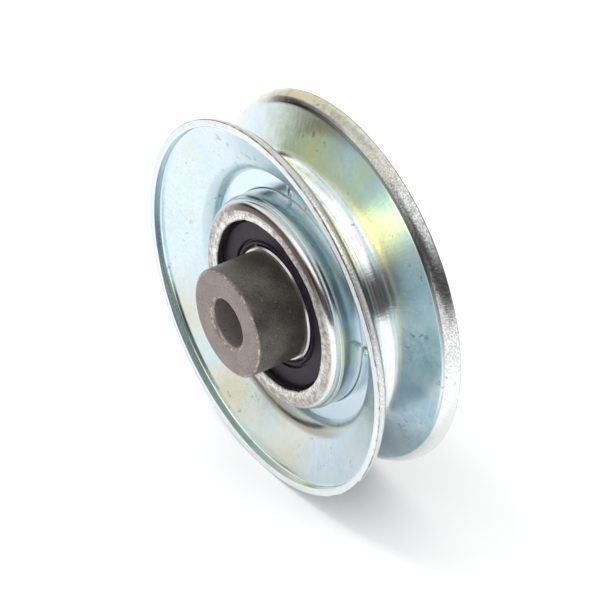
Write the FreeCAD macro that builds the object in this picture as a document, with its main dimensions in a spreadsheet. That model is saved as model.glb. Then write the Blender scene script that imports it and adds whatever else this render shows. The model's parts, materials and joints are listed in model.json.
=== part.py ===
import FreeCAD, Part
import math
import os

import Sketcher

# A V-belt idler pulley on its own ball bearing and spacer bushing.
#
# Two pressed sheet-steel flanges make the V groove. A bearing housing sleeve fills their centre
# holes, and its ends are rolled in over a sealed ball bearing. A sintered bushing sits in the
# bearing's inner ring and carries the bolt.
#
# Frame: Y is the wheel's axis, the bushing stands out towards -Y (the front), Z is up, and the
# origin is on the axis in the plane where the two flanges meet. Lengths are in millimetres.

DIMENSIONS = {
    # Flanges, front and rear alike.
    "rim_radius": 37.6,
    "rim_half_width": 9.3,
    "sheet": 1.2,
    "flank_angle": 24.5,
    "groove_radius": 26.2,
    "groove_wall": 2.08,
    "groove_round": 2.8,
    "shoulder_radius": 35.3,
    "shoulder_turn": 7.0,
    "shoulder_round": 10.0,
    "lip_wall": 36.1,
    "lip_round": 2.5,
    "lip_fold": 0.4,
    "lip_approach": 16.0,
    "lip_edge": 0.15,
    "edge_round": 0.3,
    "land_radius": 25.1,
    "land_wall": 0.46,
    "seam_round": 0.25,
    # Stakes that lock each flange's hole to the housing.
    "stake_count": 4,
    "stake_depth": 0.5,
    "stake_half_width": 0.5,
    "stake_margin": 0.35,
    "burr_radius": 0.6,
    "burr_sink": 0.36,
    "burr_offset": 0.75,
    "burr_inset": 0.95,
    # Bearing housing.
    "housing_radius": 21.4,
    "housing_neck": 20.95,
    "housing_belt": 5.1,
    "housing_step": 0.35,
    "crimp_half_width": 7.35,
    "crimp_radius": 17.0,
    "crimp_round": 1.5,
    # Ball bearing, 17 x 40 x 12.
    "bearing_bore": 8.5,
    "bearing_radius": 20.0,
    "bearing_half_width": 6.0,
    "bearing_chamfer": 0.3,
    "pitch_radius": 14.25,
    "ball_count": 8,
    "ball_radius": 3.3735,
    "race_round": 3.51,
    "race_gap": 0.012,
    "inner_shoulder": 12.0,
    "inner_step": 11.45,
    "inner_step_start": 4.6,
    "outer_shoulder": 16.6,
    "seal_seat": 17.8,
    "seal_seat_start": 4.4,
    # Seals.
    "seal_face": 5.75,
    "seal_bead_face": 5.3,
    "seal_back": 4.45,
    "seal_lip": 11.6,
    "seal_groove": 0.35,
    "core_sheet": 0.4,
    "core_inner": 12.9,
    "core_outer": 17.2,
    # Cage.
    "cage_inner": 12.95,
    "cage_outer": 15.55,
    "cage_sheet": 0.5,
    "pocket_gap": 0.12,
    "rivet_radius": 0.5,
    "rivet_head": 0.95,
    "rivet_head_height": 0.45,
    # Spacer bushing.
    "bolt_bore": 4.85,
    "bore_chamfer": 0.7,
    "bushing_radius": 10.8,
    "bushing_face": 16.6,
    "bushing_chamfer": 0.6,
    "bushing_tail": 6.5,
}

FIRST_STAKE = 4.0  # degrees from +X towards +Z
FRONT, REAR = -1, 1


def make_sheet(document):
    """Write the driving dimensions into a spreadsheet, one alias to a cell."""
    sheet = document.addObject("Spreadsheet::Sheet", "dims")
    for row, (alias, value) in enumerate(DIMENSIONS.items(), start=1):
        sheet.set(f"A{row}", alias)
        sheet.set(f"B{row}", str(value))
        sheet.setAlias(f"B{row}", alias)
    document.recompute()
    return sheet


class Size:
    """A size with its present value and the expression that binds it to the spreadsheet."""

    def __init__(self, value, text):
        self.value = value
        self.text = text

    def __add__(self, other):
        other = as_size(other)
        return Size(self.value + other.value, f"({self.text} + {other.text})")

    def __sub__(self, other):
        other = as_size(other)
        return Size(self.value - other.value, f"({self.text} - {other.text})")

    def __mul__(self, other):
        other = as_size(other)
        return Size(self.value * other.value, f"({self.text} * {other.text})")

    def __truediv__(self, other):
        other = as_size(other)
        return Size(self.value / other.value, f"({self.text} / {other.text})")


def as_size(value):
    return value if isinstance(value, Size) else Size(float(value), str(value))


def dim(alias):
    return Size(float(DIMENSIONS[alias]), f"dims.{alias}")


def tan(angle):
    return Size(math.tan(math.radians(angle.value)), f"tan({angle.text})")


def cos(angle):
    return Size(math.cos(math.radians(angle.value)), f"cos({angle.text})")


def origin_feature(body, role):
    return next(item for item in body.Origin.OriginFeatures if item.Role == role)


def bind(item, path, size):
    item.setExpression(path, size.text)


# --- Sketches -------------------------------------------------------------------------------

def new_sketch(body, name, role):
    sketch = body.newObject("Sketcher::SketchObject", name)
    sketch.AttachmentSupport = (origin_feature(body, role), [""])
    sketch.MapMode = "FlatFace"
    return sketch


def constrain(sketch, name, size, *reference):
    """Add a named dimension constraint whose value comes from the spreadsheet."""
    index = sketch.addConstraint(Sketcher.Constraint(*reference, size.value))
    sketch.renameConstraint(index, name)
    bind(sketch, f"Constraints.{name}", size)


def place_point(sketch, name, geometry, point, x, y):
    constrain(sketch, f"{name}_x", x, "DistanceX", -1, 1, geometry, point)
    constrain(sketch, f"{name}_y", y, "DistanceY", -1, 1, geometry, point)


def round_corner(before, corner, after, radius):
    """Return the centre and the two tangent points of the arc that rounds a corner."""
    towards_before = (before - corner).normalize()
    towards_after = (after - corner).normalize()
    half = towards_before.getAngle(towards_after) / 2
    reach = radius / math.tan(half)
    middle = (towards_before + towards_after).normalize()
    return (corner + middle * (radius / math.sin(half)),
            corner + towards_before * reach, corner + towards_after * reach)


def outline(sketch, corners):
    """Draw a closed outline of straight runs; each corner is (x, y) or (x, y, rounding)."""
    count = len(corners)
    points = [FreeCAD.Vector(corner[0].value, corner[1].value, 0) for corner in corners]
    starts, ends, arcs = list(points), list(points), {}
    for i, corner in enumerate(corners):
        if len(corner) == 3:
            arcs[i] = round_corner(points[i - 1], points[i], points[(i + 1) % count], corner[2].value)
            ends[i], starts[i] = arcs[i][1], arcs[i][2]
    lines = [sketch.addGeometry(Part.LineSegment(starts[i], ends[(i + 1) % count]), False)
             for i in range(count)]
    for i, corner in enumerate(corners):
        before, after = lines[i - 1], lines[i]
        if i not in arcs:
            sketch.addConstraint(Sketcher.Constraint("Coincident", before, 2, after, 1))
            place_point(sketch, f"corner_{i}", after, 1, corner[0], corner[1])
            continue
        centre, first, last = arcs[i]
        turns_left = (first - centre).cross(last - centre).z > 0
        low, high = (first, last) if turns_left else (last, first)
        angles = [math.atan2(end.y - centre.y, end.x - centre.x) for end in (low, high)]
        circle = Part.Circle(centre, FreeCAD.Vector(0, 0, 1), corner[2].value)
        arc = sketch.addGeometry(Part.ArcOfCircle(circle, *angles), False)
        first_end, last_end = (1, 2) if turns_left else (2, 1)
        sketch.addConstraint(Sketcher.Constraint("Tangent", before, 2, arc, first_end))
        sketch.addConstraint(Sketcher.Constraint("Tangent", arc, last_end, after, 1))
        tip = sketch.addGeometry(Part.Point(points[i]), True)
        sketch.addConstraint(Sketcher.Constraint("PointOnObject", tip, 1, before))
        sketch.addConstraint(Sketcher.Constraint("PointOnObject", tip, 1, after))
        place_point(sketch, f"corner_{i}", tip, 1, corner[0], corner[1])
        constrain(sketch, f"corner_{i}_round", corner[2], "Radius", arc)


# --- Features -------------------------------------------------------------------------------

def new_body(document, name):
    body = document.addObject("PartDesign::Body", name)
    body.Label = name
    return body


def turned(document, name, corners):
    """A body turned about the Y axis from one closed outline of (radius, axial, rounding)."""
    body = new_body(document, name)
    sketch = new_sketch(body, f"{name}_outline", "XY_Plane")
    outline(sketch, corners)
    turning = body.newObject("PartDesign::Revolution", f"{name}_turning")
    turning.Profile = sketch
    turning.ReferenceAxis = (sketch, ["V_Axis"])
    turning.Angle = 360
    document.recompute()
    return body


def cut_race(document, body, name, centre_radius):
    """Cut a ball race of round section into a turned ring."""
    before = body.Shape.Volume
    sketch = new_sketch(body, f"{name}_section", "XY_Plane")
    centre = FreeCAD.Vector(centre_radius.value, 0, 0)
    circle = Part.Circle(centre, FreeCAD.Vector(0, 0, 1), dim("race_round").value)
    section = sketch.addGeometry(circle, False)
    sketch.addConstraint(Sketcher.Constraint("PointOnObject", section, 3, -1))
    constrain(sketch, "race_centre", centre_radius, "DistanceX", -1, 1, section, 3)
    constrain(sketch, "race_radius", dim("race_round"), "Radius", section)
    race = body.newObject("PartDesign::Groove", name)
    race.Profile = sketch
    race.ReferenceAxis = (sketch, ["V_Axis"])
    race.Angle = 360
    document.recompute()
    if body.Shape.Volume >= before:
        raise RuntimeError(f"{name} cuts nothing")


def mirrored_outline(side, corners):
    """Put an outline that is drawn for +Y on the front or the rear side."""
    return [(corner[0], corner[1] * side, *corner[2:]) for corner in corners]


# --- Flanges --------------------------------------------------------------------------------

def flange_outline():
    """The pressed sheet's section on the +Y side: land, groove wall, flank, shoulder and lip."""
    sheet, slope = dim("sheet"), tan(dim("flank_angle"))
    steep = tan(dim("flank_angle") + dim("shoulder_turn"))
    groove, rim, lip = dim("groove_radius"), dim("rim_radius"), dim("lip_wall")
    shoulder = dim("shoulder_radius")
    shoulder_rise = dim("groove_wall") + (shoulder - groove) * slope
    inner_wall = dim("land_radius") + dim("land_wall")
    inner_rise = dim("groove_wall") + sheet / cos(dim("flank_angle"))
    inner_shoulder = shoulder - sheet / 2
    inner_shoulder_rise = inner_rise + (inner_shoulder - groove) * slope
    return [
        (dim("housing_radius"), as_size(0)),
        (groove, as_size(0), dim("seam_round")),
        (groove, dim("groove_wall"), dim("groove_round")),
        (shoulder, shoulder_rise, dim("shoulder_round") + sheet),
        (rim, shoulder_rise + (rim - shoulder) * steep, dim("lip_round")),
        (rim, dim("rim_half_width"), dim("lip_edge")),
        (lip, dim("rim_half_width"), dim("lip_edge")),
        (lip, inner_shoulder_rise + (lip - inner_shoulder) * tan(dim("lip_approach")), dim("lip_fold")),
        (inner_shoulder, inner_shoulder_rise, dim("shoulder_round")),
        (inner_wall, inner_rise + (inner_wall - groove) * slope, dim("groove_round") + sheet * 0.9),
        (dim("land_radius"), sheet),
        (dim("housing_radius"), sheet, dim("edge_round")),
    ]


def add_stakes(document, body, side):
    """Chisel the land beside the housing: a radial V notch with a burr on each side of it."""
    name, sheet = body.Name, dim("sheet")
    before = body.Shape.Volume
    sketch = new_sketch(body, f"{name}_notch_section", "YZ_Plane")
    bind(sketch, "AttachmentOffset.Base.z", dim("housing_radius") + dim("stake_margin"))
    mouth = (sheet + 0.1) * side
    outline(sketch, [
        (mouth, dim("stake_half_width")),
        ((sheet - dim("stake_depth")) * side, as_size(0)),
        (mouth, dim("stake_half_width") * -1),
    ])
    notch = body.newObject("PartDesign::Pocket", f"{name}_notch")
    notch.Profile = sketch
    notch.Reversed = True
    bind(notch, "Length", dim("land_radius") - dim("housing_radius") - dim("stake_margin") * 2)
    document.recompute()
    if body.Shape.Volume >= before:
        raise RuntimeError(f"the stake notch of {name} cuts nothing")
    burrs = []
    for hand in (-1, 1):
        burr = body.newObject("PartDesign::AdditiveSphere", f"{name}_burr_{len(burrs) + 1}")
        burr.AttachmentSupport = (origin_feature(body, "XY_Plane"), [""])
        burr.MapMode = "FlatFace"
        bind(burr, "Radius", dim("burr_radius"))
        bind(burr, "AttachmentOffset.Base.x", dim("housing_radius") + dim("burr_inset"))
        bind(burr, "AttachmentOffset.Base.y", (sheet - dim("burr_sink")) * side)
        bind(burr, "AttachmentOffset.Base.z", dim("burr_offset") * hand)
        burrs.append(burr)
    document.recompute()
    pattern = body.newObject("PartDesign::PolarPattern", f"{name}_stakes")
    pattern.Originals = [notch, *burrs]
    pattern.Axis = (origin_feature(body, "Y_Axis"), [""])
    pattern.Angle = 360
    bind(pattern, "Occurrences", dim("stake_count"))
    body.Tip = pattern
    body.Placement = about_axis(FIRST_STAKE)
    document.recompute()


def make_flange(document, name, side):
    flange = turned(document, name, mirrored_outline(side, flange_outline()))
    add_stakes(document, flange, side)
    return flange


def about_axis(degrees):
    """Turn about the wheel's axis, counted from +X towards +Z."""
    turn = FreeCAD.Rotation(FreeCAD.Vector(0, -1, 0), degrees)
    return FreeCAD.Placement(FreeCAD.Vector(0, 0, 0), turn)


# --- Housing, bushing and bearing rings ------------------------------------------------------

def both_ends(corners):
    """Continue an outline that runs over the +Y end back over the -Y end, as its mirror."""
    return corners + [(corner[0], corner[1] * -1, *corner[2:]) for corner in reversed(corners)]


def make_housing(document):
    neck_start = dim("housing_belt") + dim("housing_step")
    return turned(document, "bearing_housing", both_ends([
        (dim("housing_radius"), dim("housing_belt")),
        (dim("housing_neck"), neck_start),
        (dim("housing_neck"), dim("crimp_half_width"), dim("crimp_round")),
        (dim("crimp_radius"), dim("crimp_half_width"), dim("edge_round")),
        (dim("crimp_radius"), dim("bearing_half_width")),
        (dim("bearing_radius"), dim("bearing_half_width")),
    ]))


def make_bushing(document):
    bore, face = dim("bolt_bore"), dim("bushing_face") * -1
    radius, tail = dim("bushing_radius"), dim("bushing_tail")
    chamfer, mouth = dim("bushing_chamfer"), dim("bore_chamfer")
    return turned(document, "bushing", [
        (bore, face + mouth / 2, mouth),
        (bore + mouth, face, mouth),
        (radius - chamfer, face, chamfer),
        (radius, face + chamfer / 2, chamfer / 2),
        (radius, dim("bearing_half_width") * -1),
        (dim("bearing_bore"), dim("bearing_half_width") * -1),
        (dim("bearing_bore"), tail - chamfer / 2),
        (dim("bearing_bore") - chamfer / 2, tail),
        (bore + mouth / 2, tail),
        (bore, tail - mouth / 2),
    ])


def make_outer_ring(document):
    chamfer = dim("bearing_chamfer")
    ring = turned(document, "outer_ring", both_ends([
        (dim("outer_shoulder"), dim("seal_seat_start")),
        (dim("seal_seat"), dim("seal_seat_start")),
        (dim("seal_seat"), dim("bearing_half_width")),
        (dim("bearing_radius") - chamfer, dim("bearing_half_width")),
        (dim("bearing_radius"), dim("bearing_half_width") - chamfer),
    ]))
    cut_race(document, ring, "outer_race",
             dim("pitch_radius") + dim("ball_radius") + dim("race_gap") - dim("race_round"))
    return ring


def make_inner_ring(document):
    chamfer = dim("bearing_chamfer")
    ring = turned(document, "inner_ring", both_ends([
        (dim("inner_shoulder"), dim("inner_step_start")),
        (dim("inner_step"), dim("inner_step_start")),
        (dim("inner_step"), dim("bearing_half_width") - chamfer),
        (dim("inner_step") - chamfer, dim("bearing_half_width")),
        (dim("bearing_bore"), dim("bearing_half_width")),
    ]))
    cut_race(document, ring, "inner_race",
             dim("pitch_radius") - dim("ball_radius") - dim("race_gap") + dim("race_round"))
    return ring


# --- Seals ----------------------------------------------------------------------------------

def make_seal(document, name, side):
    """A rubber disc seal with a bead at its seat, a groove round its lip, and a steel core."""
    face, back, groove = dim("seal_face"), dim("seal_back"), dim("seal_groove")
    core_front = back + dim("core_sheet")
    lip = dim("seal_lip")
    rubber = turned(document, f"{name}_rubber", mirrored_outline(side, [
        (lip, face - groove, groove / 4),
        (lip + groove, face, groove / 4),
        (lip + groove * 2, face, groove / 4),
        (lip + groove * 2.5, face - groove * 1.5, groove / 4),
        (lip + groove * 3.5, face - groove * 1.5, groove / 4),
        (lip + groove * 4, face, groove / 4),
        (dim("seal_seat") - groove * 4, face, groove),
        (dim("seal_seat") - groove * 3, dim("seal_bead_face"), groove),
        (dim("seal_seat"), dim("seal_bead_face"), groove / 2),
        (dim("seal_seat"), back),
        (dim("core_outer"), back),
        (dim("core_outer"), core_front),
        (dim("core_inner"), core_front),
        (dim("core_inner"), back),
        (dim("core_inner") - groove, back),
        (lip, core_front),
    ]))
    core = turned(document, f"{name}_core", mirrored_outline(side, [
        (dim("core_inner"), back),
        (dim("core_inner"), core_front),
        (dim("core_outer"), core_front),
        (dim("core_outer"), back),
    ]))
    return [rubber, core]


# --- Balls, cage and rivets ------------------------------------------------------------------

def make_ball(document, name, number, radius):
    """A sphere at one of the evenly spaced places on the bearing's pitch circle."""
    angle = Size(360.0 * number / dim("ball_count").value, f"(360 * {number} / dims.ball_count)")
    pitch = dim("pitch_radius")
    ball = document.addObject("Part::Sphere", name)
    ball.Label = name
    bind(ball, "Radius", radius)
    bind(ball, "Placement.Base.x", pitch * cos(angle))
    bind(ball, "Placement.Base.z", pitch * Size(0, f"sin({angle.text})"))
    return ball


def fuse(document, name, pieces):
    fused = document.addObject("Part::MultiFuse", name)
    fused.Shapes = pieces
    return fused


def make_ball_set(document, name, radius):
    count = int(dim("ball_count").value)
    return fuse(document, name,
                [make_ball(document, f"{name}_{i + 1}", i, radius) for i in range(count)])


def ring_blank(document, name, side, depth):
    inner, outer = dim("cage_inner"), dim("cage_outer")
    return turned(document, name, mirrored_outline(side, [
        (inner, as_size(0)), (outer, as_size(0)), (outer, depth), (inner, depth)]))


def rivet_outline():
    """Half the section of one rivet, beside its own axis on the bearing's pitch circle."""
    axis, sheet = dim("pitch_radius"), dim("cage_sheet")
    shank, head = axis + dim("rivet_radius"), axis + dim("rivet_head")
    top = sheet + dim("rivet_head_height")
    return both_ends([
        (shank, sheet),
        (head, sheet),
        (head, top, dim("rivet_head_height") * 0.8),
        (axis, top),
    ][::-1])


def make_rivet_ring(document, name, corners):
    """Turn one rivet about its own axis and repeat it between all the balls."""
    body = new_body(document, name)
    body.AllowCompound = True
    sketch = new_sketch(body, f"{name}_section", "XY_Plane")
    outline(sketch, corners)
    bottom = FreeCAD.Vector(dim("pitch_radius").value, corners[0][1].value, 0)
    top = FreeCAD.Vector(dim("pitch_radius").value, corners[-1][1].value, 0)
    axis = sketch.addGeometry(Part.LineSegment(bottom, top), True)
    for point, corner in ((1, corners[0]), (2, corners[-1])):
        place_point(sketch, f"axis_{point}", axis, point, corner[0], corner[1])
    rivet = body.newObject("PartDesign::Revolution", f"{name}_rivet")
    rivet.Profile = sketch
    rivet.ReferenceAxis = (sketch, ["Axis0"])
    rivet.Angle = 360
    document.recompute()
    pattern = body.newObject("PartDesign::PolarPattern", f"{name}_pattern")
    pattern.Originals = [rivet]
    pattern.Axis = (origin_feature(body, "Y_Axis"), [""])
    pattern.Angle = 360
    bind(pattern, "Occurrences", dim("ball_count"))
    body.Tip = pattern
    body.Placement = about_axis(180.0 / dim("ball_count").value)
    document.recompute()
    return body


def make_cage_half(document, name, side, cups, pockets, rivets):
    """One pressed half of the ribbon cage: flat lands between cups that follow the balls."""
    cup_depth = dim("ball_radius") + dim("pocket_gap") + dim("cage_sheet")
    domes = document.addObject("Part::Common", f"{name}_domes")
    domes.Base = ring_blank(document, f"{name}_zone", side, cup_depth + 0.1)
    domes.Tool = cups
    strip = ring_blank(document, f"{name}_strip", side, dim("cage_sheet"))
    pressed = fuse(document, f"{name}_pressed", [strip, domes])
    opened = document.addObject("Part::Cut", f"{name}_opened")
    opened.Base, opened.Tool = pressed, pockets
    half = document.addObject("Part::Cut", name)
    half.Base, half.Tool = opened, rivets
    half.Label = name
    return half


def make_cage(document):
    pocket = dim("ball_radius") + dim("pocket_gap")
    pockets = make_ball_set(document, "pocket", pocket)
    cups = make_ball_set(document, "cup", pocket + dim("cage_sheet"))
    rivets = make_rivet_ring(document, "cage_rivets", rivet_outline())
    front = make_cage_half(document, "cage_front", FRONT, cups, pockets, rivets)
    rear = make_cage_half(document, "cage_rear", REAR, cups, pockets, rivets)
    return [front, rear, rivets]


# --- The whole pulley ------------------------------------------------------------------------

def make_nodes(document):
    balls = [make_ball(document, f"ball_{i + 1}", i, dim("ball_radius"))
             for i in range(int(dim("ball_count").value))]
    return [
        make_flange(document, "front_flange", FRONT),
        make_flange(document, "rear_flange", REAR),
        make_housing(document),
        make_outer_ring(document),
        make_inner_ring(document),
        make_bushing(document),
        *make_seal(document, "front_seal", FRONT),
        *make_seal(document, "rear_seal", REAR),
        *balls,
        *make_cage(document),
    ]


def check(document, nodes):
    """Stop if any object failed, or any piece isn't a valid closed shape."""
    for item in document.Objects:
        if "Invalid" in item.State or "Error" in item.State:
            raise RuntimeError(f"{item.Name} failed: {item.State}")
    for node in nodes:
        shape = node.Shape
        if shape.isNull() or not shape.isValid() or not shape.Solids:
            raise RuntimeError(f"{node.Label} is not a valid solid")
        print(f"{node.Label}: {len(shape.Solids)} solid(s), {shape.Volume:.1f} mm3")


def main():
    document = FreeCAD.newDocument("belt_idler")
    make_sheet(document)
    nodes = make_nodes(document)
    document.recompute()
    check(document, nodes)
    os.makedirs("parts", exist_ok=True)
    for node in nodes:
        node.Shape.exportStep(f"parts/{node.Label}.step")


main()
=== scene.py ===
import json
import math
from functools import cached_property

import bpy
from mathutils import Matrix, Vector, noise


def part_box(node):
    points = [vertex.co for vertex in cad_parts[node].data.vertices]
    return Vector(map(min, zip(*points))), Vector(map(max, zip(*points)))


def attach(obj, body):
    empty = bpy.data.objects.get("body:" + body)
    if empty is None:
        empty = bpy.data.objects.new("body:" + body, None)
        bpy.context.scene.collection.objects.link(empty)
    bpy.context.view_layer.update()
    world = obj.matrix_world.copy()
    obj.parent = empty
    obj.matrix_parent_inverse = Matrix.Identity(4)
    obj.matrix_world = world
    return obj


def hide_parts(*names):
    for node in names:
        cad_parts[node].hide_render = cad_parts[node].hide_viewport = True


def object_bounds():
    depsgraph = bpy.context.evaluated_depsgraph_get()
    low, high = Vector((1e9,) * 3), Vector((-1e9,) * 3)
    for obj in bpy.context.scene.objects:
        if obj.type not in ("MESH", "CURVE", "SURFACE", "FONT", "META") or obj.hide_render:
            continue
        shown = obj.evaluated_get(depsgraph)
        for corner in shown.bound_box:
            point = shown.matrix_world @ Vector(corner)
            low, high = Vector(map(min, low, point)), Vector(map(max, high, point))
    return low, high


# The looks of a V-belt idler pulley: two zinc-plated pressed flanges, a bearing housing with
# rolled-in ends, a rubber-sealed ball bearing and a dark sintered bushing.
# Y is the wheel's axis and the bushing side faces -Y. The wheel's sizes are in millimetres, and
# MM turns them into Blender's metres. Directions round the wheel are in degrees from +X to +Z.

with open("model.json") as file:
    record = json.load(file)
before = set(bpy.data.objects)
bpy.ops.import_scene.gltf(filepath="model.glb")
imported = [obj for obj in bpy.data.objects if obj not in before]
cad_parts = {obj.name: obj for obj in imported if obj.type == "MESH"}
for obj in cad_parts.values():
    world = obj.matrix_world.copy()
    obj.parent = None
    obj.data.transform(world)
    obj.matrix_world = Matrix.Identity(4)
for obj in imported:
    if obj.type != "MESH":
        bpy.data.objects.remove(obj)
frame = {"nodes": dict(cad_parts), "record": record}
cad_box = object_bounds()

MM = 0.001
FRONT, REAR = -1, 1

# --- Sizes: the outer ones come from the frame, the rest are the sheet and its bends ----------

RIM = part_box("front_flange")[1][0] / MM
RIM_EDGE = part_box("rear_flange")[1][1] / MM
SHEET = 1.2
FLANK = math.radians(24.5)
GROOVE = 26.2
GROOVE_WALL = 2.08
GROOVE_ROUND = 2.8
GROOVE_BEND = 27.9
SHOULDER = 35.8
SHOULDER_TURN = math.radians(12.0)
SHOULDER_ROUND = 1.0
INNER_SHOULDER = SHOULDER - 1.1
INNER_SHOULDER_ROUND = 8.0
LIP = 36.1
LIP_FOLD = 0.4
LIP_APPROACH = math.radians(16.0)
LIP_ROUND = 2.8
EDGE_ROUND = 0.15
WEB_ROUND = 0.25
LAND = 25.1
LAND_WALL = 0.46
LAND_ROUND = 0.35
FOOT_ROUND = 3.88

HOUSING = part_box("bearing_housing")[1][0] / MM
HOUSING_GAP = 0.02
BELT = 5.1
NECK = HOUSING - 0.45
NECK_RISE = 0.35
NECK_ROUND = 0.12
CRIMP = 17.0
CRIMP_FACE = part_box("bearing_housing")[1][1] / MM
CRIMP_ROUND = 1.5
CRIMP_EDGE_ROUND = 0.3

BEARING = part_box("outer_ring")[1][0] / MM
BEARING_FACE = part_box("outer_ring")[1][1] / MM

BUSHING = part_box("bushing")[1][0] / MM
BUSHING_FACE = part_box("bushing")[0][1] / MM
BUSHING_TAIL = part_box("bushing")[1][1] / MM
SPIGOT = 8.5
BOLT_BORE = 4.85
BORE_ROUND, FACE_ROUND = 0.7, 0.6
TAIL_CHAMFER, SPIGOT_CHAMFER = 0.35, 0.3

SEAL_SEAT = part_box("front_seal_rubber")[1][0] / MM
SEAL_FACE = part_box("rear_seal_rubber")[1][1] / MM
SEAL_BACK = 4.45
SEAL_LIP = 11.6
SEAL_HEEL = 12.55
SEAL_RIM_DROP = 0.45
SEAL_GROOVE = 0.35
CORE_SEAT = SEAL_BACK + 0.4
CORE_RIM = 17.2
CORE_BORE = 12.9

STAKES = [4.0, 94.0, 184.0, 274.0]
STAKE_START = HOUSING + 0.3
NOTCH_DEPTH = 0.55
NOTCH_WIDTH, NOTCH_FLARE = 0.3, 0.35
BURR_ACROSS, BURR_OUT = 0.75, 1.1
BURR_HEIGHT = 0.5
BURR_SPREAD = 0.24

# Wear of the lip: its depth, unevenness and nicks. Wear of the crimp: how wide, and where most.
LIP_WEAR = 1.2
LIP_UNEVEN = 0.02
NICK_LEVEL, NICK_DEPTH = 0.55, 0.4
CRIMP_WEAR = 0.7
CRIMP_WORN_MOST = math.radians(40)

# Fineness of the meshes: faces round the wheel, degrees at and round a stake, parts of a
# rounding, and longest straight runs.
TURN_STEPS, HOUSING_STEPS = 360, 480
STAKE_STEP, STAKE_SPAN = 0.25, 3.0
SHEET_ARC, SEAL_ARC, BUSHING_ARC = 10, 4, 6
FLANGE_RUN, LAND_RUN, HOUSING_RUN, BUSHING_RUN = 0.5, 0.12, 0.4, 1.0
SAME = 0.01


# --- Lathe: a closed outline turned about Y ---------------------------------------------------

def outline(corners, arc_steps):
    """Points of a closed outline; a corner is (radius, axial) or (radius, axial, rounding).

    Returns (radius, axial, sharp) for each point; only unrounded corners are sharp."""
    points, count = [], len(corners)
    for i, corner in enumerate(corners):
        here = Vector(corner[:2])
        if len(corner) == 2:
            points.append((here.x, here.y, True))
            continue
        before = (Vector(corners[i - 1][:2]) - here).normalized()
        after = (Vector(corners[(i + 1) % count][:2]) - here).normalized()
        half = before.angle(after) / 2
        centre = here + (before + after).normalized() * (corner[2] / math.sin(half))
        first = here + before * (corner[2] / math.tan(half)) - centre
        last = here + after * (corner[2] / math.tan(half)) - centre
        turn = first.angle_signed(last)
        for step in range(arc_steps + 1):
            spoke = first.copy()
            spoke.rotate(Matrix.Rotation(-turn * step / arc_steps, 2))
            points.append((centre.x + spoke.x, centre.y + spoke.y, False))
    return points


def refined(points, longest, where=None):
    """Split an outline's runs that are longer than longest; where(point) can pick the runs."""
    result, count = [], len(points)
    for i, point in enumerate(points):
        result.append(point)
        after = points[(i + 1) % count]
        if where and not (where(point) and where(after)):
            continue
        parts = math.ceil(math.dist(point[:2], after[:2]) / longest)
        for k in range(1, parts):
            share = k / parts
            result.append((point[0] + (after[0] - point[0]) * share,
                           point[1] + (after[1] - point[1]) * share, False))
    return result


def on_land(point):
    """Whether a point of a flange's outline is on the land's face, where the stakes are."""
    return HOUSING < point[0] <= LAND and abs(point[1]) > SHEET - SAME


def even_angles(count):
    return [2 * math.pi * i / count for i in range(count)]


def stake_angles():
    """Angles round the wheel, close together at the stakes."""
    angles = [float(k) for k in range(360)
              if min(abs(away(k, stake)) for stake in STAKES) > STAKE_SPAN]
    steps = int(STAKE_SPAN / STAKE_STEP)
    for stake in STAKES:
        angles += [(stake + STAKE_STEP * k) % 360 for k in range(-steps, steps + 1)]
    return [math.radians(angle) for angle in sorted(angles)]


def away(angle, other):
    """Signed turn from one angle to another, in degrees."""
    return (angle - other + 180) % 360 - 180


def lathe(name, points, angles, shape=None):
    """Turn outline points about Y into one closed mesh object of quads.

    shape(radius, axial, angle) may move a point and returns its new (radius, axial, angle)."""
    rings, steps = len(points), len(angles)
    vertices, faces, sharp_rings = [], [], set()
    for ring, (radius, axial, sharp) in enumerate(points):
        if sharp:
            sharp_rings.add(ring)
        for angle in angles:
            r, y, a = shape(radius, axial, angle) if shape else (radius, axial, angle)
            vertices.append((r * math.cos(a) * MM, y * MM, r * math.sin(a) * MM))
    for ring in range(rings):
        here, there = ring * steps, ((ring + 1) % rings) * steps
        for step in range(steps):
            after = (step + 1) % steps
            faces.append((here + step, there + step, there + after, here + after))
    mesh = bpy.data.meshes.new(name)
    mesh.from_pydata(vertices, [], faces)
    mesh.shade_smooth()
    for edge in mesh.edges:
        first, second = (vertex // steps for vertex in edge.vertices)
        edge.use_edge_sharp = first == second and first in sharp_rings
    mesh.update()
    if signed_volume(mesh) < 0:
        mesh.flip_normals()
    piece = bpy.data.objects.new(name, mesh)
    bpy.context.scene.collection.objects.link(piece)
    return piece


def signed_volume(mesh):
    total = 0.0
    for face in mesh.polygons:
        corners = [mesh.vertices[i].co for i in face.vertices]
        for k in range(1, len(corners) - 1):
            total += corners[0].dot(corners[k].cross(corners[k + 1]))
    return total / 6


def mirrored(side, corners):
    return [(corner[0], corner[1] * side, *corner[2:]) for corner in corners]


def both_ends(corners):
    return corners + [(corner[0], -corner[1], *corner[2:]) for corner in reversed(corners)]


# --- Outlines ---------------------------------------------------------------------------------

def flank(radius):
    """Axial place of the groove's flank at a radius."""
    return GROOVE_WALL + (radius - GROOVE) * math.tan(FLANK)


def dish(radius):
    """Axial place of the dish's slope, the other face of the same sheet."""
    return flank(radius) + SHEET / math.cos(FLANK)


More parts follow.
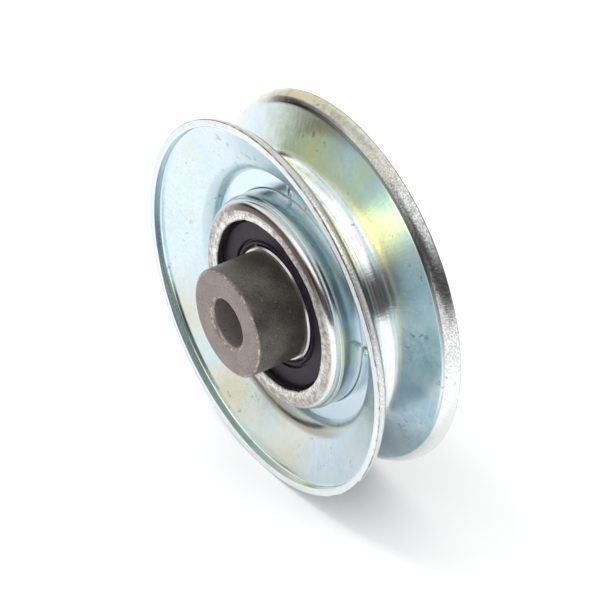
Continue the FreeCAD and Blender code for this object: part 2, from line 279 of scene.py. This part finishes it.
def flange_outline():
    """Section of one flange: the groove side out to the lip, and back down the dish."""
    steep, gentle = math.tan(FLANK + SHOULDER_TURN), math.tan(LIP_APPROACH)
    inner_wall = LAND + LAND_WALL
    return [
        (HOUSING + HOUSING_GAP, 0.0),
        (GROOVE, 0.0, WEB_ROUND),
        (GROOVE, GROOVE_WALL, GROOVE_ROUND),
        (SHOULDER, flank(SHOULDER), SHOULDER_ROUND),
        (RIM, flank(SHOULDER) + (RIM - SHOULDER) * steep, LIP_ROUND),
        (RIM, RIM_EDGE, EDGE_ROUND),
        (LIP, RIM_EDGE, EDGE_ROUND),
        (LIP, dish(INNER_SHOULDER) + (LIP - INNER_SHOULDER) * gentle, LIP_FOLD),
        (INNER_SHOULDER, dish(INNER_SHOULDER), INNER_SHOULDER_ROUND),
        (inner_wall, dish(inner_wall), FOOT_ROUND),
        (LAND, SHEET),
        (HOUSING + HOUSING_GAP, SHEET, LAND_ROUND),
    ]


def worn_flange(radius, axial, angle):
    """Stake marks on the land, and a lip that isn't quite true, with a few nicks in its edge."""
    side = 1 if axial > 0 else -1
    if STAKE_START < radius < LAND and abs(axial) > SHEET - SAME:
        axial += side * stake_relief(radius, math.degrees(angle))
    lip = max(0.0, (abs(axial) - (RIM_EDGE - LIP_WEAR)) / LIP_WEAR)
    if lip > 0:
        place = Vector((math.cos(angle), math.sin(angle), side * 3.0))
        outside = radius > LIP + 0.5
        nick = max(0.0, noise.noise(place * 55) - NICK_LEVEL) * NICK_DEPTH * outside
        radius -= lip * (LIP_UNEVEN + LIP_UNEVEN * noise.noise(place * 4) + nick)
        axial -= side * lip * (LIP_UNEVEN + LIP_UNEVEN * noise.noise(place * 7) + nick)
    return radius, axial, angle


def stake_relief(radius, degrees):
    """Height of the land's face at the nearest stake: a V notch, and a burr on one side of it."""
    turn = min((away(degrees, stake) for stake in STAKES), key=abs)
    across = math.radians(turn) * radius
    share = (radius - HOUSING) / (LAND - HOUSING)
    notch_width = NOTCH_WIDTH + NOTCH_FLARE * share
    notch = NOTCH_DEPTH * max(0.0, 1 - abs(across) / notch_width) * min(1.0, (1 - share) * 8)
    distance = math.hypot(across + BURR_ACROSS, (radius - HOUSING - BURR_OUT) * 0.7)
    return BURR_HEIGHT * math.exp(-(distance / BURR_SPREAD) ** 2 / 2) - notch


def worn_housing(radius, axial, angle):
    """The rolled-in ends have an uneven inner edge."""
    inner = 1 - smooth_step(radius, CRIMP, CRIMP + CRIMP_WEAR)
    if abs(axial) > BEARING_FACE - SAME and inner > 0:
        place = Vector((math.cos(angle), math.sin(angle), axial))
        ragged = 0.3 + noise.noise(place * 6) * 0.35 + noise.noise(place * 30) * 0.2
        near_side = 0.5 + 0.5 * math.cos(angle - CRIMP_WORN_MOST)
        radius += inner * near_side * max(0.0, ragged)
    return radius, axial, angle


def smooth_step(value, low, high):
    share = min(1.0, max(0.0, (value - low) / (high - low)))
    return share * share * (3 - 2 * share)


def housing_outline():
    return both_ends([
        (HOUSING, BELT, NECK_ROUND),
        (NECK, BELT + NECK_RISE, NECK_ROUND),
        (NECK, CRIMP_FACE, CRIMP_ROUND),
        (CRIMP, CRIMP_FACE, CRIMP_EDGE_ROUND),
        (CRIMP, BEARING_FACE),
        (BEARING, BEARING_FACE),
    ])


def bushing_outline():
    return [
        (BOLT_BORE, BUSHING_FACE + BORE_ROUND / 2, BORE_ROUND),
        (BOLT_BORE + BORE_ROUND, BUSHING_FACE, BORE_ROUND),
        (BUSHING - FACE_ROUND, BUSHING_FACE, FACE_ROUND),
        (BUSHING, BUSHING_FACE + FACE_ROUND / 2, FACE_ROUND / 2),
        (BUSHING, -BEARING_FACE),
        (SPIGOT, -BEARING_FACE),
        (SPIGOT, BUSHING_TAIL - SPIGOT_CHAMFER),
        (SPIGOT - SPIGOT_CHAMFER, BUSHING_TAIL),
        (BOLT_BORE + TAIL_CHAMFER, BUSHING_TAIL),
        (BOLT_BORE, BUSHING_TAIL - TAIL_CHAMFER),
    ]


def seal_outline():
    groove = SEAL_GROOVE
    return [
        (SEAL_LIP, SEAL_FACE - groove, groove / 4),
        (SEAL_LIP + groove, SEAL_FACE, groove / 4),
        (SEAL_LIP + groove * 2, SEAL_FACE, groove / 4),
        (SEAL_LIP + groove * 2.5, SEAL_FACE - groove * 1.5, groove / 4),
        (SEAL_LIP + groove * 3.5, SEAL_FACE - groove * 1.5, groove / 4),
        (SEAL_LIP + groove * 4, SEAL_FACE, groove / 4),
        (SEAL_SEAT - groove * 4, SEAL_FACE, groove),
        (SEAL_SEAT - groove * 3, SEAL_FACE - SEAL_RIM_DROP, groove),
        (SEAL_SEAT, SEAL_FACE - SEAL_RIM_DROP, groove / 2),
        (SEAL_SEAT, SEAL_BACK),
        (CORE_RIM, SEAL_BACK),
        (CORE_RIM, CORE_SEAT),
        (CORE_BORE, CORE_SEAT),
        (CORE_BORE, SEAL_BACK),
        (SEAL_HEEL, SEAL_BACK),
        (SEAL_LIP, CORE_SEAT),
    ]


# --- Materials --------------------------------------------------------------------------------

class Nodes:
    """A short way to write the node tree of a material or a world.

    Scales of noise are in features per metre; sizes and distances given as numbers are in mm."""

    def __init__(self, owner, place="Object"):
        owner.use_nodes = True
        self.owner, self.tree = owner, owner.node_tree
        self.place = self.add("ShaderNodeTexCoord").outputs[place]
        parts = self.add("ShaderNodeSeparateXYZ", {"Vector": self.place}).outputs
        self.x, self.y, self.z = (parts[axis] for axis in "XYZ")

    def add(self, kind, inputs=None, **settings):
        node = self.tree.nodes.new(kind)
        for key, value in settings.items():
            setattr(node, key, value)
        for key, value in (inputs or {}).items():
            self.join(value, node.inputs[key])
        return node

    def join(self, value, socket):
        if isinstance(value, bpy.types.NodeSocket):
            self.tree.links.new(value, socket)
        else:
            socket.default_value = value

    def math(self, operation, *values):
        node = self.add("ShaderNodeMath", operation=operation)
        for socket, value in zip(node.inputs, values):
            self.join(value, socket)
        return node.outputs[0]

    def product(self, *values):
        result = values[0]
        for value in values[1:]:
            result = self.math("MULTIPLY", result, value)
        return result

    def length(self, first, second):
        squares = self.product(first, first), self.product(second, second)
        return self.math("SQRT", self.math("ADD", *squares))

    def noise(self, scale, detail=4.0, roughness=0.5, place=None):
        node = self.add("ShaderNodeTexNoise", {"Vector": place or self.place, "Scale": scale,
                                               "Detail": detail, "Roughness": roughness})
        return node.outputs["Fac"]

    def ramp(self, value, low, high, to_low=0.0, to_high=1.0):
        """A smooth step from to_low, where the value is low, to to_high, where it is high."""
        node = self.add("ShaderNodeMapRange", {
            "Value": value, "From Min": low, "From Max": high, "To Min": to_low, "To Max": to_high},
            interpolation_type="SMOOTHSTEP")
        return node.outputs["Result"]

    def step(self, length, low, high, to_high=1.0):
        """A smooth step from 0 to to_high between two lengths in mm."""
        return self.ramp(length, low * MM, high * MM, 0.0, to_high)

    def mix(self, share, first, second):
        inputs = {"Factor": share, "A": first, "B": second}
        return self.add("ShaderNodeMix", inputs, data_type="RGBA").outputs["Result"]

    def over(self, tint, patch, *shares):
        """A patch's colour laid over a tint, by the product of the shares."""
        return self.mix(self.product(*shares), tint, patch)

    @cached_property
    def radius(self):
        """Distance from the wheel's axis."""
        return self.length(self.x, self.z)

    @cached_property
    def axial(self):
        """Distance from the plane where the flanges meet."""
        return self.math("ABSOLUTE", self.y)

    def point(self, x, y, z=0.0):
        return self.add("ShaderNodeCombineXYZ", {"X": x, "Y": y, "Z": z}).outputs["Vector"]

    def around(self, across, along):
        """A place for noise drawn out along the radius: across is features per radian."""
        return self.point(self.product(self.math("DIVIDE", self.x, self.radius), across),
                          self.product(self.math("ADD", self.y, self.radius), along),
                          self.product(self.math("DIVIDE", self.z, self.radius), across))

    def rings(self, along):
        """A place for noise drawn out round the wheel: along is features per metre of radius."""
        return self.point(self.product(self.radius, along), self.product(self.y, along))

    def aslant(self, along, across):
        """A place for noise drawn out slantwise over the wheel's face."""
        return self.point(self.product(self.math("SUBTRACT", self.x, self.z), along),
                          self.product(self.y, along),
                          self.product(self.math("ADD", self.x, self.z), across))

    def near(self, place, size, ragged):
        """1 at a place and 0 further than size from it, with an uneven border."""
        point = tuple(value * MM for value in place)
        distance = self.add("ShaderNodeVectorMath", {0: self.place, 1: point}, operation="DISTANCE")
        wobble = self.product(self.math("SUBTRACT", ragged, 0.5), size * MM * 0.9)
        return self.step(self.math("ADD", distance.outputs["Value"], wobble), size, 0.0)

    def dot(self, aim):
        """Cosine of the turn from an aim, for a place that is a direction."""
        node = self.add("ShaderNodeVectorMath", {0: self.place, 1: aim}, operation="DOT_PRODUCT")
        return node.outputs["Value"]

    def within(self, cosine, inner, outer):
        """1 within inner degrees, by the cosine of the turn, fading to 0 at outer degrees."""
        return self.ramp(cosine, math.cos(math.radians(outer)), math.cos(math.radians(inner)))

    def sector(self, degrees, inner, outer):
        """1 within inner degrees of a direction round the wheel, fading to 0 at outer degrees."""
        angle = math.radians(degrees)
        along = self.math("ADD", self.product(self.x, math.cos(angle)),
                          self.product(self.z, math.sin(angle)))
        return self.within(self.math("DIVIDE", along, self.radius), inner, outer)

    def ring(self, radius, axial, width):
        """1 on a circle round the wheel, fading to 0 at width from it."""
        across = self.math("SUBTRACT", self.radius, radius * MM)
        along = self.math("SUBTRACT", self.axial, axial * MM)
        return self.step(self.length(across, along), width, width * 0.4)

    def bump(self, height, distance, strength, normal=None):
        inputs = {"Height": height, "Distance": distance * MM, "Strength": strength}
        if normal:
            inputs["Normal"] = normal
        return self.add("ShaderNodeBump", inputs).outputs["Normal"]

    def finish(self, tint, roughness, **others):
        shader = self.tree.nodes["Principled BSDF"]
        inputs = {"Base Color": tint, "Roughness": roughness, **others}
        for key, value in inputs.items():
            self.join(value, shader.inputs[key.replace("_", " ")])
        return self.owner


def color(red, green, blue):
    return (red, green, blue, 1.0)


PALE_BLUE = color(0.68, 0.80, 0.85)
TEAL = color(0.46, 0.59, 0.61)
OLIVE = color(0.67, 0.69, 0.37)
STRAW = color(0.63, 0.57, 0.38)
SLATE = color(0.42, 0.52, 0.60)
SHADE = color(0.30, 0.33, 0.32)
CREAM = color(0.72, 0.69, 0.55)
WHITE = color(0.93, 0.94, 0.92)
UMBER = color(0.16, 0.12, 0.12)
PIT = color(0.06, 0.06, 0.07)

# Tints of the passivated zinc: direction, radius, size, colour and strength. Among them are painted
# shade at the front dish's foot and a yellow tint under the warm lamp's highlight, which is partly
# a painted highlight.
FRONT_TINTS_AND_SHADE = [
    (165, 30, 34, PALE_BLUE, 1.0),
    (245, 33, 13, STRAW, 1.0),
    (278, 33, 12, STRAW, 0.8),
    (214, 34, 11, STRAW, 0.7),
    # Painted shade at the dish's foot.
    (262, 26, 9, SHADE, 0.55),
    (308, 31, 16, SLATE, 0.5),
    (345, 24, 9, SLATE, 0.3),
]
REAR_TINTS_AND_HIGHLIGHT = [
    (92, 29, 18, OLIVE, 1.0),
    (112, 32, 14, color(0.38, 0.43, 0.37), 0.9),
    (56, 31, 15, OLIVE, 0.9),
    # Yellow tint where the warm lamp's highlight falls, partly a painted highlight.
    (50, 29.5, 9, color(0.92, 0.84, 0.42), 1.0),
    (60, 34.5, 6, TEAL, 0.9),
    (82, 35, 8, TEAL, 0.7),
    (5, 31, 18, color(0.30, 0.43, 0.44), 1.0),
    (332, 33, 22, color(0.33, 0.47, 0.56), 1.0),
]

# Tints of the rim beyond the crease: sector (direction, full and outer half angle), colour and
# strength.
FRONT_RIM_TINTS = [
    ((88, 35, 65), color(0.57, 0.58, 0.55), 0.9),
    ((180, 45, 75), color(0.46, 0.56, 0.62), 0.8),
    ((40, 10, 28), UMBER, 0.35),
    ((320, 45, 80), WHITE, 0.4),
]
REAR_RIM_TINTS = [
    ((112, 40, 65), color(0.62, 0.62, 0.53), 0.9),
    ((35, 12, 26), WHITE, 0.2),
    ((345, 25, 50), WHITE, 0.8),
]

# Painted shade and highlights along a bend: circle (radius, axial place, width), sector, colour and
# strength.
# At the dish's foot: painted shade in the hollow, a painted highlight on the land's edge, and
# painted shade further in.
FOOT_SHADE_AND_HIGHLIGHT = [
    ((26.7, dish(26.7), 1.7), (265, 28, 60), color(0.30, 0.27, 0.21), 0.8),
    ((25.4, SHEET + 0.3, 0.9), (255, 20, 40), color(0.85, 0.84, 0.50), 0.8),
    ((26.2, dish(26.2), 1.5), (145, 50, 85), color(0.46, 0.59, 0.63), 0.6),
]
# At the rim's crease: a painted highlight on the bend, and painted dark reflections beyond it.
CREASE_HIGHLIGHT_AND_REFLECTIONS = [
    ((SHOULDER - 0.1, flank(SHOULDER - 0.1), 0.3), (25, 25, 50), WHITE, 0.7),
    ((SHOULDER + 0.2, flank(SHOULDER + 0.2), 0.45), (65, 45, 65), UMBER, 0.7),
    ((SHOULDER + 0.4, flank(SHOULDER + 0.4), 1.0), (102, 8, 24), UMBER, 0.75),
]


def zinc_sheet(name, side, tints, rim_tints):
    """Bright blue zinc with faint tints, paler in the groove's bottom and worn at the rim."""
    n = Nodes(bpy.data.materials.new(name))
    clouds = n.noise(110.0, 4.0, 0.55)
    grain = n.noise(3200.0, 5.0, 0.65)
    flank_line = n.math("MULTIPLY_ADD", n.radius, math.tan(FLANK), flank(0) * MM)
    dish_side = n.step(n.math("SUBTRACT", n.axial, flank_line), SHEET / 3, SHEET / 1.5)
    groove_side = n.math("SUBTRACT", 1.0, dish_side)

    tint = n.mix(n.ramp(clouds, 0.35, 0.65), color(0.53, 0.65, 0.69), color(0.62, 0.73, 0.76))
    ragged = n.noise(140.0, 3.0, 0.6)
    mottle = n.ramp(n.noise(620.0, 5.0, 0.7), 0.38, 0.60, 0.65, 1.0)
    for degrees, out, size, patch, strength in tints:
        angle = math.radians(degrees)
        place = (out * math.cos(angle), side * flank(out), out * math.sin(angle))
        tint = n.over(tint, patch, n.near(place, size, ragged), mottle, strength)
    tint = n.over(tint, CREAM, n.ramp(n.noise(170.0, 5.0, 0.6), 0.50, 0.70, 0.0, 0.35))
    tint = n.over(tint, SLATE, n.ramp(n.noise(1500.0, 4.0, 0.7), 0.42, 0.62, 0.0, 0.22))

    # The land, the groove's bottom with its rubbed streaks, painted shade and a painted highlight
    # at the dish's foot, and the lip's wall.
    land = n.step(n.radius, LAND + 0.2, LAND - 0.2)
    tint = n.over(tint, color(0.61, 0.73, 0.82), land, 0.9)
    bottom = n.product(groove_side, n.step(n.radius, GROOVE - 0.6, GROOVE - 0.3),
                       n.step(n.radius, GROOVE + 2.2, GROOVE + 1.1))
    tint = n.over(tint, color(0.95, 1.0, 1.0), bottom, 0.9)
    rubbed = n.ramp(n.noise(1.0, 4.0, 0.65, place=n.rings(3200.0)), 0.46, 0.62)
    tint = n.over(tint, SHADE, bottom, rubbed, n.ramp(n.noise(260.0, 4.0, 0.6), 0.42, 0.60), 0.6)
    # Painted shade and a painted highlight at the dish's foot.
    for circle, sector, patch, strength in FOOT_SHADE_AND_HIGHLIGHT:
        tint = n.over(tint, patch, dish_side, n.ring(*circle), n.sector(*sector), strength)
    tint = n.over(tint, STRAW, groove_side, n.ring(GROOVE_BEND, flank(GROOVE_BEND), 0.6), 0.4)
    lip_wall = n.product(dish_side, n.step(n.radius, LIP - 0.3, LIP - 0.1),
                         n.step(n.radius, LIP + 0.5, LIP + 0.2))
    lip_tint = n.mix(n.sector(250, 40, 65), color(0.61, 0.74, 0.80), color(0.92, 1.0, 0.95))
    tint = n.over(tint, lip_tint, lip_wall, 0.9)

    # The rim, beyond the crease.
    rim = n.product(n.step(n.radius, LIP - 0.2, LIP + 0.1), n.math("SUBTRACT", 1.0, lip_wall))
    rim_tint = n.mix(n.ramp(clouds, 0.35, 0.65), color(0.64, 0.70, 0.72), color(0.76, 0.80, 0.80))
    for sector, patch, strength in rim_tints:
        rim_tint = n.over(rim_tint, patch, n.sector(*sector), strength)
    flecks = n.ramp(n.noise(520.0, 5.0, 0.7), 0.50, 0.60, 0.0, 0.5)
    rim_tint = n.over(rim_tint, color(0.40, 0.38, 0.36), flecks, n.sector(95, 35, 72))
    tint = n.over(tint, rim_tint, rim, 0.95)
    worn = n.ramp(n.noise(2800.0, 5.0, 0.75), 0.44, 0.56)
    tint = n.over(tint, UMBER, rim, n.sector(36, 22, 46), worn, 0.5)
    # Painted highlight and painted dark reflections along the rim's crease.
    for circle, sector, patch, strength in CREASE_HIGHLIGHT_AND_REFLECTIONS:
        tint = n.over(tint, patch, n.ring(*circle), n.sector(*sector), strength)
    edge = n.step(n.axial, RIM_EDGE - 0.15, RIM_EDGE - 0.08)
    tint = n.over(tint, WHITE, edge, 0.25)

    # Wear: streaks out along the sheet, scratches, turned arcs, stains, pits and chipped corners.
    streaks = n.noise(1.0, 5.0, 0.6, place=n.around(70.0, 120.0))
    tint = n.over(tint, SLATE, n.ramp(streaks, 0.52, 0.75), 0.2)
    scratches = n.ramp(n.noise(1.0, 3.0, 0.65, place=n.aslant(110.0, 2400.0)), 0.63, 0.70)
    tint = n.over(tint, SHADE, scratches, n.ramp(n.noise(90.0, 2.0), 0.46, 0.56), 0.45)
    arcs = n.ramp(n.noise(1.0, 3.0, 0.6, place=n.rings(2200.0)), 0.58, 0.75)
    tint = n.over(tint, WHITE, arcs, n.ramp(land, 0.0, 1.0, 0.15, 0.35))
    stains = n.product(n.ramp(n.noise(700.0, 1.0), 0.66, 0.72),
                       n.ramp(n.noise(110.0, 2.0), 0.50, 0.60))
    tint = n.over(tint, color(0.16, 0.24, 0.27), stains, n.ramp(groove_side, 0.0, 1.0, 0.45, 0.6))
    tint = n.over(tint, PIT, n.ramp(grain, 0.36, 0.28), n.ramp(rim, 0.0, 1.0, 0.12, 0.8))
    inner_corner = n.product(n.ring(LIP, RIM_EDGE, 0.15), n.sector(75, 35, 60))
    corners = n.math("MAXIMUM", n.ring(RIM, RIM_EDGE, 0.22), inner_corner)
    chipped = n.ramp(n.noise(420.0, 4.0, 0.7), 0.40, 0.55)
    tint = n.over(tint, PIT, corners, chipped, 0.85)

    rough = n.ramp(clouds, 0.3, 0.7, 0.15, 0.24)
    normal = n.bump(grain, 0.03, 0.25)
    normal = n.bump(n.product(n.noise(2800.0, 4.0, 0.65), rim), 0.06, 0.6, normal)
    normal = n.bump(streaks, 0.06, 0.25, normal)
    return n.finish(tint, rough, Normal=normal, Metallic=1.0)


def zinc_housing():
    """Plated like the flanges, but scuffed to a mottled grey where the ends are rolled in."""
    n = Nodes(bpy.data.materials.new("zinc_plated_housing"))
    clouds = n.noise(160.0, 3.0, 0.55)
    tint = n.mix(n.ramp(clouds, 0.35, 0.65), color(0.47, 0.56, 0.58), color(0.58, 0.66, 0.66))
    tint = n.over(tint, OLIVE, n.ramp(n.noise(130.0, 3.0), 0.52, 0.66, 0.0, 0.5))
    tint = n.over(tint, WHITE, n.step(n.axial, 2.8, 1.4, 0.7))
    tint = n.over(tint, color(0.90, 0.90, 0.87), n.step(n.axial, BELT + 0.2, BELT + 0.4), 0.7)
    # Painted shade in the step where the housing narrows to its neck.
    tint = n.over(tint, SHADE, n.ring(HOUSING - 0.15, BELT + 0.15, 0.35), 0.6)

    # The rolled-in end: mottled face, a painted dark reflection on the top of its outer corner, a
    # painted highlight on its inner lip, and painted shade on the inner wall.
    face = n.step(n.radius, 20.4, 19.9)
    mottle = n.noise(1300.0, 5.0, 0.7)
    scuffed = n.mix(n.ramp(mottle, 0.40, 0.60), color(0.30, 0.27, 0.25), color(0.62, 0.59, 0.55))
    tint = n.over(tint, scuffed, face)
    corner = n.product(n.step(n.radius, 19.0, 19.3), n.step(n.radius, 20.6, 20.3),
                       n.step(n.axial, 6.7, 6.9))
    # Painted dark reflection on the top of the outer corner, mottled.
    scale = n.product(corner, n.sector(80, 30, 62), n.ramp(mottle, 0.30, 0.45, 0.6, 0.95))
    tint = n.over(tint, color(0.085, 0.055, 0.05), scale)
    # Painted highlight on the rounded inner lip, mottled.
    lip = n.product(n.step(n.radius, 18.6, 18.2), face)
    tint = n.over(tint, WHITE, lip, n.ramp(mottle, 0.4, 0.6, 0.2, 0.6))
    # Painted shade on the inner wall, inside the rolled-in end.
    wall = n.product(face, n.step(n.axial, CRIMP_FACE - 0.25, CRIMP_FACE - 0.4))
    tint = n.over(tint, color(0.03, 0.027, 0.03), wall, 0.9)

    marks = n.noise(1.0, 4.0, 0.6, place=n.rings(2600.0))
    tint = n.over(tint, SHADE, n.ramp(marks, 0.58, 0.75, 0.0, 0.3))
    grain = n.noise(3000.0, 5.0, 0.6)
    tint = n.over(tint, PIT, n.ramp(grain, 0.36, 0.28), 0.6)
    normal = n.bump(grain, 0.03, 0.3)
    normal = n.bump(n.product(mottle, face), 0.10, 0.6, normal)
    normal = n.bump(marks, 0.03, 0.25, normal)
    return n.finish(tint, n.ramp(face, 0.0, 1.0, 0.18, 0.42), Normal=normal,
                    Metallic=n.ramp(face, 0.0, 1.0, 1.0, 0.6))


def rubber():
    """Matte black rubber with a little dust."""
    n = Nodes(bpy.data.materials.new("seal_rubber"))
    cloud = n.noise(500.0, 4.0)
    tint = n.mix(n.ramp(cloud, 0.35, 0.65), color(0.011, 0.007, 0.014), color(0.021, 0.015, 0.026))
    dust = n.ramp(n.noise(5200.0, 2.0, 0.5), 0.70, 0.78)
    tint = n.over(tint, color(0.20, 0.19, 0.20), dust, 0.5)
    normal = n.bump(n.noise(2600.0, 5.0, 0.6), 0.04, 0.5)
    rough = n.ramp(cloud, 0.3, 0.7, 0.42, 0.55)
    return n.finish(tint, rough, Normal=normal, Specular_IOR_Level=0.22)


def sintered():
    """Dark oily sintered iron, paler and rosier on the pressed end faces."""
    n = Nodes(bpy.data.materials.new("sintered_iron"))
    grain = n.noise(2600.0, 5.0, 0.65)
    clouds = n.noise(220.0, 4.0, 0.55)
    patches = n.ramp(clouds, 0.35, 0.65)
    side = n.mix(patches, color(0.138, 0.117, 0.103), color(0.198, 0.170, 0.149))
    face = n.mix(patches, color(0.205, 0.170, 0.158), color(0.27, 0.226, 0.208))
    tint = n.mix(n.step(n.y, BUSHING_FACE + 0.35, BUSHING_FACE + 0.1), side, face)
    bore = n.step(n.radius, BOLT_BORE + 0.35, BOLT_BORE + 0.05, 0.9)
    tint = n.over(tint, color(0.42, 0.38, 0.37), bore)
    tint = n.over(tint, color(0.03, 0.026, 0.026), n.ramp(grain, 0.46, 0.32, 0.0, 0.6))
    tint = n.over(tint, color(0.55, 0.50, 0.45), n.ramp(grain, 0.60, 0.70, 0.0, 0.6))
    rims = n.math("MAXIMUM", n.ring(BUSHING - 0.3, -BUSHING_FACE, 0.35),
                  n.ring(BOLT_BORE + 0.35, -BUSHING_FACE, 0.45))
    rubbed = n.ramp(n.noise(1800.0, 3.0, 0.6), 0.48, 0.60)
    tint = n.over(tint, color(0.62, 0.58, 0.55), rims, rubbed, 0.7)
    normal = n.bump(grain, 0.05, 0.45)
    normal = n.bump(n.noise(1.0, 3.0, 0.6, place=n.rings(2400.0)), 0.03, 0.25, normal)
    rough = n.ramp(clouds, 0.3, 0.7, 0.36, 0.46)
    return n.finish(tint, rough, Normal=normal, Metallic=0.75)


# Plain steels: colour and roughness of each slot.
STEELS = {
    "bearing_steel": ((0.62, 0.62, 0.61), 0.22),
    "ball_steel": ((0.75, 0.75, 0.76), 0.08),
    "cage_steel": ((0.5, 0.49, 0.47), 0.35),
    "core_steel": ((0.45, 0.46, 0.46), 0.4),
}


def steel(name, tint, rough):
    n = Nodes(bpy.data.materials.new(name))
    dark = color(*(channel * 0.85 for channel in tint))
    tint = n.mix(n.ramp(n.noise(400.0, 4.0), 0.4, 0.6), dark, color(*tint))
    normal = n.bump(n.noise(4000.0, 3.0), 0.01, 0.3)
    return n.finish(tint, rough, Normal=normal, Metallic=1.0)


# --- Pieces -----------------------------------------------------------------------------------

def settle(piece, material, body, node):
    piece.data.materials.append(material)
    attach(piece, body)
    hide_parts(node)


def make_pieces():
    black = rubber()
    angles = even_angles(TURN_STEPS)
    for name, side, *sheet_tints in (("front", FRONT, FRONT_TINTS_AND_SHADE, FRONT_RIM_TINTS),
                                     ("rear", REAR, REAR_TINTS_AND_HIGHLIGHT, REAR_RIM_TINTS)):
        sheet = zinc_sheet(f"zinc_plated_sheet_{name}", side, *sheet_tints)
        points = refined(outline(mirrored(side, flange_outline()), SHEET_ARC), FLANGE_RUN)
        points = refined(points, LAND_RUN, on_land)
        flange = lathe(f"{name}_flange_sheet", points, stake_angles(), worn_flange)
        settle(flange, sheet, "pulley", f"{name}_flange")
        points = outline(mirrored(side, seal_outline()), SEAL_ARC)
        seal = lathe(f"{name}_seal_disc", points, angles)
        settle(seal, black, "pulley", f"{name}_seal_rubber")
    points = refined(outline(housing_outline(), SHEET_ARC), HOUSING_RUN)
    sleeve = lathe("housing_sleeve", points, even_angles(HOUSING_STEPS), worn_housing)
    settle(sleeve, zinc_housing(), "pulley", "bearing_housing")
    points = refined(outline(bushing_outline(), BUSHING_ARC), BUSHING_RUN)
    bush = lathe("spacer_bushing", points, angles)
    settle(bush, sintered(), "hub", "bushing")

    finishes = {slot: steel(slot, *look) for slot, look in STEELS.items()}
    for part in frame["record"]["subparts"]:
        if part["material_slot"] in finishes:
            mesh = frame["nodes"][part["node"]].data
            mesh.materials.clear()
            mesh.materials.append(finishes[part["material_slot"]])


# --- Stage, lights and camera: lengths in metres ----------------------------------------------

CAMERA_AZIMUTH = 54.52
CAMERA_ELEVATION = 36.88
CAMERA_PLACE = Vector((0.3281, -0.2323, 0.2986))
LENS = 156.2

FLOOR_HALF = 3.0
FLOOR_FRONT = -0.45

KEY_PLACE = Vector((-0.55, -0.30, 0.85))
KEY_SIZE = 0.4
KEY_POWER = 4.2

DARK = color(0.085, 0.075, 0.075)

# Uneven patches of the studio: azimuth, elevation, inner and outer angular radius, and colour.
GLOWS = [
    (168, 20, 18, 34, color(1.05, 0.97, 0.74)),
    (208, 54, 14, 30, color(0.82, 0.84, 0.78)),
    (66, 44, 4, 20, color(3.9, 3.7, 2.9)),
]

# Darker shapes round the studio. Each is bounded by smooth steps (from, to) in height, which is
# the sine of the elevation, and by smooth steps in the cosine of the turn from an azimuth.
SHAPES = [
    (color(0.55, 0.55, 0.53), [(0.17, 0.11)], [(235, 0.80, 0.90)]),
    (DARK, [(0.145, 0.165), (0.25, 0.225)], [(243, 0.86, 0.92)]),
    (DARK, [(-0.06, 0.02), (0.26, 0.20)], [(212, 0.91, 0.96)]),
    (DARK, [(0.70, 0.48)], [(358, 0.0, 0.10), (300, -0.6, 0.2)]),
]


def make_stage():
    low = cad_box[0][2]
    corners = [(-FLOOR_HALF, FLOOR_FRONT, low), (FLOOR_HALF, FLOOR_FRONT, low),
               (FLOOR_HALF, FLOOR_HALF, low), (-FLOOR_HALF, FLOOR_HALF, low)]
    mesh = bpy.data.meshes.new("floor")
    mesh.from_pydata(corners, [], [(0, 1, 2, 3)])
    floor = bpy.data.objects.new("floor", mesh)
    bpy.context.scene.collection.objects.link(floor)
    n = Nodes(bpy.data.materials.new("paper"))
    tint = n.mix(n.noise(40.0), color(0.92, 0.92, 0.925), color(0.94, 0.94, 0.945))
    mesh.materials.append(n.finish(tint, 0.9))


def heading(azimuth, elevation=0.0):
    turn, rise = math.radians(azimuth), math.radians(elevation)
    return (math.cos(rise) * math.cos(turn), math.cos(rise) * math.sin(turn), math.sin(rise))


def make_world():
    """A white studio with a dark room on one side, below the soft box overhead.

    Only reflections show its shapes; diffuse light and the background are plain white."""
    n = Nodes(bpy.data.worlds.new("studio"), "Generated")
    light = n.mix(n.ramp(n.z, 0.6, 0.9), color(1.1, 1.1, 1.09), color(1.3, 1.3, 1.28))
    for azimuth, elevation, inner, outer, tint in GLOWS:
        share = n.within(n.dot(heading(azimuth, elevation)), inner, outer)
        light = n.mix(share, light, tint)
    for tint, heights, turns in SHAPES:
        steps = [n.ramp(n.z, *bounds) for bounds in heights]
        steps += [n.ramp(n.dot(heading(azimuth)), *bounds) for azimuth, *bounds in turns]
        light = n.over(light, tint, *steps)
    path = n.add("ShaderNodeLightPath").outputs
    light = n.mix(path["Is Diffuse Ray"], light, color(1.15, 1.15, 1.16))
    light = n.mix(path["Is Camera Ray"], light, color(1.1, 1.1, 1.1))
    n.join(light, n.tree.nodes["Background"].inputs["Color"])
    bpy.context.scene.world = n.owner


def make_key_light():
    """A soft box that only diffuse surfaces show."""
    data = bpy.data.lights.new("key", "AREA")
    data.size = KEY_SIZE
    data.energy = KEY_POWER
    lamp = bpy.data.objects.new("key", data)
    lamp.location = KEY_PLACE
    lamp.rotation_euler = (-KEY_PLACE).to_track_quat("-Z", "Y").to_euler()
    lamp.visible_glossy = False
    bpy.context.scene.collection.objects.link(lamp)


def make_camera():
    data = bpy.data.cameras.new("camera")
    data.lens = LENS
    data.sensor_width = 36.0
    data.clip_start = 0.01
    camera = bpy.data.objects.new("camera", data)
    azimuth, elevation = math.radians(CAMERA_AZIMUTH), math.radians(CAMERA_ELEVATION)
    camera.location = CAMERA_PLACE
    camera.rotation_euler = (math.pi / 2 - elevation, 0.0, azimuth)
    bpy.context.scene.collection.objects.link(camera)
    bpy.context.scene.camera = camera


make_pieces()
make_stage()
make_world()
make_key_light()
bpy.context.scene.view_settings.view_transform = "Standard"
make_camera()
